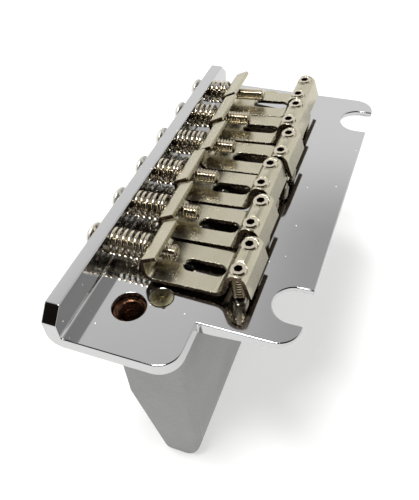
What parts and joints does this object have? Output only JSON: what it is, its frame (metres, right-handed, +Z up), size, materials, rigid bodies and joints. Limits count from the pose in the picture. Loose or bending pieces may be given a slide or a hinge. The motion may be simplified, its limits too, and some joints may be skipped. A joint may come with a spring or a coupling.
{
  "type": "guitar tremolo bridge",
  "caption": "Guitar tremolo bridge: bent steel plate with pivot notches and upright flange, bent saddles on sprung screws, and an inertia block hanging below.",
  "frame": {"origin": "on the plate's top face, midway between the centres of the two pivot notches", "axes": "+X across the strings toward the arm side, +Y toward the neck, +Z up out of the plate"},
  "size_m": [0.0834, 0.0424, 0.0513],
  "materials": {
    "plate": "polished plating",
    "block": "matt grey",
    "bushing": "copper brown",
    "dark_screw": "polished",
    "saddle": "warm satin plating",
    "screw": "polished plating",
    "height_screw": "polished plating",
    "spring": "polished wire"
  },
  "bodies": {
    "base": {"base_plate": "plate", "inertia_block": "block", "arm_bushing": "bushing", "block_screw_treble": "dark_screw", "block_screw_middle": "dark_screw", "block_screw_bass": "dark_screw"},
    "spring_1": {"spring_1": "spring"},
    "saddle_1": {"saddle_1": "saddle"},
    "intonation_screw_1": {"intonation_screw_1": "screw"},
    "height_screw_1_treble": {"height_screw_1_treble": "height_screw"},
    "height_screw_1_bass": {"height_screw_1_bass": "height_screw"},
    "spring_2": {"spring_2": "spring"},
    "saddle_2": {"saddle_2": "saddle"},
    "intonation_screw_2": {"intonation_screw_2": "screw"},
    "height_screw_2_treble": {"height_screw_2_treble": "height_screw"},
    "height_screw_2_bass": {"height_screw_2_bass": "height_screw"},
    "spring_3": {"spring_3": "spring"},
    "saddle_3": {"saddle_3": "saddle"},
    "intonation_screw_3": {"intonation_screw_3": "screw"},
    "height_screw_3_treble": {"height_screw_3_treble": "height_screw"},
    "height_screw_3_bass": {"height_screw_3_bass": "height_screw"},
    "spring_4": {"spring_4": "spring"},
    "saddle_4": {"saddle_4": "saddle"},
    "intonation_screw_4": {"intonation_screw_4": "screw"},
    "height_screw_4_treble": {"height_screw_4_treble": "height_screw"},
    "height_screw_4_bass": {"height_screw_4_bass": "height_screw"},
    "spring_5": {"spring_5": "spring"},
    "saddle_5": {"saddle_5": "saddle"},
    "intonation_screw_5": {"intonation_screw_5": "screw"},
    "height_screw_5_treble": {"height_screw_5_treble": "height_screw"},
    "height_screw_5_bass": {"height_screw_5_bass": "height_screw"},
    "spring_6": {"spring_6": "spring"},
    "saddle_6": {"saddle_6": "saddle"},
    "intonation_screw_6": {"intonation_screw_6": "screw"},
    "height_screw_6_treble": {"height_screw_6_treble": "height_screw"},
    "height_screw_6_bass": {"height_screw_6_bass": "height_screw"}
  },
  "joints": [
    {"name": "tilt_1", "type": "hinge", "parent": "base", "child": "spring_1", "pos_m": [0.0262, -0.0363, 0.0035], "axis": [1, 0, 0], "range_deg": [-1.5, 2.5]},
    {"name": "intonation_1", "type": "hinge", "parent": "spring_1", "child": "intonation_screw_1", "pos_m": [0.0262, -0.0363, 0.0035], "axis": [0, -0.9994, -0.0349], "range_deg": [-1172, 1982]},
    {"name": "saddle_slide_1", "type": "slide", "parent": "spring_1", "child": "saddle_1", "axis": [0, 1, 0], "range_m": [-0.00206, 0.00349], "deforming": ["spring_1"]},
    {"name": "height_1_treble", "type": "slide", "parent": "saddle_1", "child": "height_screw_1_treble", "axis": [0, 0.0349, -0.9994], "range_m": [-0.00072, 0.00119]},
    {"name": "height_1_bass", "type": "slide", "parent": "saddle_1", "child": "height_screw_1_bass", "axis": [0, 0.0349, -0.9994], "range_m": [-0.00072, 0.00119]},
    {"name": "tilt_2", "type": "hinge", "parent": "base", "child": "spring_2", "pos_m": [0.01572, -0.0363, 0.0035], "axis": [1, 0, 0], "range_deg": [-2.5, 2.5]},
    {"name": "intonation_2", "type": "hinge", "parent": "spring_2", "child": "intonation_screw_2", "pos_m": [0.01572, -0.0363, 0.0035], "axis": [0, -0.9981, -0.061], "range_deg": [-992, 1982]},
    {"name": "saddle_slide_2", "type": "slide", "parent": "spring_2", "child": "saddle_2", "axis": [0, 1, 0], "range_m": [-0.00175, 0.00349], "deforming": ["spring_2"]},
    {"name": "height_2_treble", "type": "slide", "parent": "saddle_2", "child": "height_screw_2_treble", "axis": [0, 0.061, -0.9981], "range_m": [-0.00115, 0.00115]},
    {"name": "height_2_bass", "type": "slide", "parent": "saddle_2", "child": "height_screw_2_bass", "axis": [0, 0.061, -0.9981], "range_m": [-0.00115, 0.00115]},
    {"name": "tilt_3", "type": "hinge", "parent": "base", "child": "spring_3", "pos_m": [0.00524, -0.0363, 0.0035], "axis": [1, 0, 0], "range_deg": [-2.5, 2.5]},
    {"name": "intonation_3", "type": "hinge", "parent": "spring_3", "child": "intonation_screw_3", "pos_m": [0.00524, -0.0363, 0.0035], "axis": [0, -0.9969, -0.0785], "range_deg": [-812, 1982]},
    {"name": "saddle_slide_3", "type": "slide", "parent": "spring_3", "child": "saddle_3", "axis": [0, 1, 0], "range_m": [-0.00143, 0.00349], "deforming": ["spring_3"]},
    {"name": "height_3_treble", "type": "slide", "parent": "saddle_3", "child": "height_screw_3_treble", "axis": [0, 0.0785, -0.9969], "range_m": [-0.0011, 0.0011]},
    {"name": "height_3_bass", "type": "slide", "parent": "saddle_3", "child": "height_screw_3_bass", "axis": [0, 0.0785, -0.9969], "range_m": [-0.0011, 0.0011]},
    {"name": "tilt_4", "type": "hinge", "parent": "base", "child": "spring_4", "pos_m": [-0.00524, -0.0363, 0.0035], "axis": [1, 0, 0], "range_deg": [-2.5, 2.5]},
    {"name": "intonation_4", "type": "hinge", "parent": "spring_4", "child": "intonation_screw_4", "pos_m": [-0.00524, -0.0363, 0.0035], "axis": [0, -0.9969, -0.0785], "range_deg": [-902, 1982]},
    {"name": "saddle_slide_4", "type": "slide", "parent": "spring_4", "child": "saddle_4", "axis": [0, 1, 0], "range_m": [-0.00159, 0.00349], "deforming": ["spring_4"]},
    {"name": "height_4_treble", "type": "slide", "parent": "saddle_4", "child": "height_screw_4_treble", "axis": [0, 0.0785, -0.9969], "range_m": [-0.00114, 0.00114]},
    {"name": "height_4_bass", "type": "slide", "parent": "saddle_4", "child": "height_screw_4_bass", "axis": [0, 0.0785, -0.9969], "range_m": [-0.00114, 0.00114]},
    {"name": "tilt_5", "type": "hinge", "parent": "base", "child": "spring_5", "pos_m": [-0.01572, -0.0363, 0.0035], "axis": [1, 0, 0], "range_deg": [-2.5, 2.5]},
    {"name": "intonation_5", "type": "hinge", "parent": "spring_5", "child": "intonation_screw_5", "pos_m": [-0.01572, -0.0363, 0.0035], "axis": [0, -0.9957, -0.0924], "range_deg": [-722, 1982]},
    {"name": "saddle_slide_5", "type": "slide", "parent": "spring_5", "child": "saddle_5", "axis": [0, 1, 0], "range_m": [-0.00127, 0.00349], "deforming": ["spring_5"]},
    {"name": "height_5_treble", "type": "slide", "parent": "saddle_5", "child": "height_screw_5_treble", "axis": [0, 0.0924, -0.9957], "range_m": [-0.00109, 0.00109]},
    {"name": "height_5_bass", "type": "slide", "parent": "saddle_5", "child": "height_screw_5_bass", "axis": [0, 0.0924, -0.9957], "range_m": [-0.00109, 0.00109]},
    {"name": "tilt_6", "type": "hinge", "parent": "base", "child": "spring_6", "pos_m": [-0.0262, -0.0363, 0.0035], "axis": [1, 0, 0], "range_deg": [-2.5, 2.5]},
    {"name": "intonation_6", "type": "hinge", "parent": "spring_6", "child": "intonation_screw_6", "pos_m": [-0.0262, -0.0363, 0.0035], "axis": [0, -0.9966, -0.0819], "range_deg": [-632, 1982]},
    {"name": "saddle_slide_6", "type": "slide", "parent": "spring_6", "child": "saddle_6", "axis": [0, 1, 0], "range_m": [-0.00111, 0.00349], "deforming": ["spring_6"]},
    {"name": "height_6_treble", "type": "slide", "parent": "saddle_6", "child": "height_screw_6_treble", "axis": [0, 0.0819, -0.9966], "range_m": [-0.00105, 0.00105]},
    {"name": "height_6_bass", "type": "slide", "parent": "saddle_6", "child": "height_screw_6_bass", "axis": [0, 0.0819, -0.9966], "range_m": [-0.00105, 0.00105]}
  ],
  "couplings": [
    {"joint": "intonation_1", "follows": "saddle_slide_1", "rad_per_m": 9894.8},
    {"joint": "height_1_treble", "follows": "tilt_1", "m_per_rad": 0.027026},
    {"joint": "height_1_bass", "follows": "tilt_1", "m_per_rad": 0.027026},
    {"joint": "intonation_2", "follows": "saddle_slide_2", "rad_per_m": 9894.8},
    {"joint": "height_2_treble", "follows": "tilt_2", "m_per_rad": 0.026077},
    {"joint": "height_2_bass", "follows": "tilt_2", "m_per_rad": 0.026077},
    {"joint": "intonation_3", "follows": "saddle_slide_3", "rad_per_m": 9894.8},
    {"joint": "height_3_treble", "follows": "tilt_3", "m_per_rad": 0.024991},
    {"joint": "height_3_bass", "follows": "tilt_3", "m_per_rad": 0.024991},
    {"joint": "intonation_4", "follows": "saddle_slide_4", "rad_per_m": 9894.8},
    {"joint": "height_4_treble", "follows": "tilt_4", "m_per_rad": 0.025796},
    {"joint": "height_4_bass", "follows": "tilt_4", "m_per_rad": 0.025796},
    {"joint": "intonation_5", "follows": "saddle_slide_5", "rad_per_m": 9894.8},
    {"joint": "height_5_treble", "follows": "tilt_5", "m_per_rad": 0.024694},
    {"joint": "height_5_bass", "follows": "tilt_5", "m_per_rad": 0.024694},
    {"joint": "intonation_6", "follows": "saddle_slide_6", "rad_per_m": 9894.8},
    {"joint": "height_6_treble", "follows": "tilt_6", "m_per_rad": 0.02391},
    {"joint": "height_6_bass", "follows": "tilt_6", "m_per_rad": 0.02391}
  ]
}
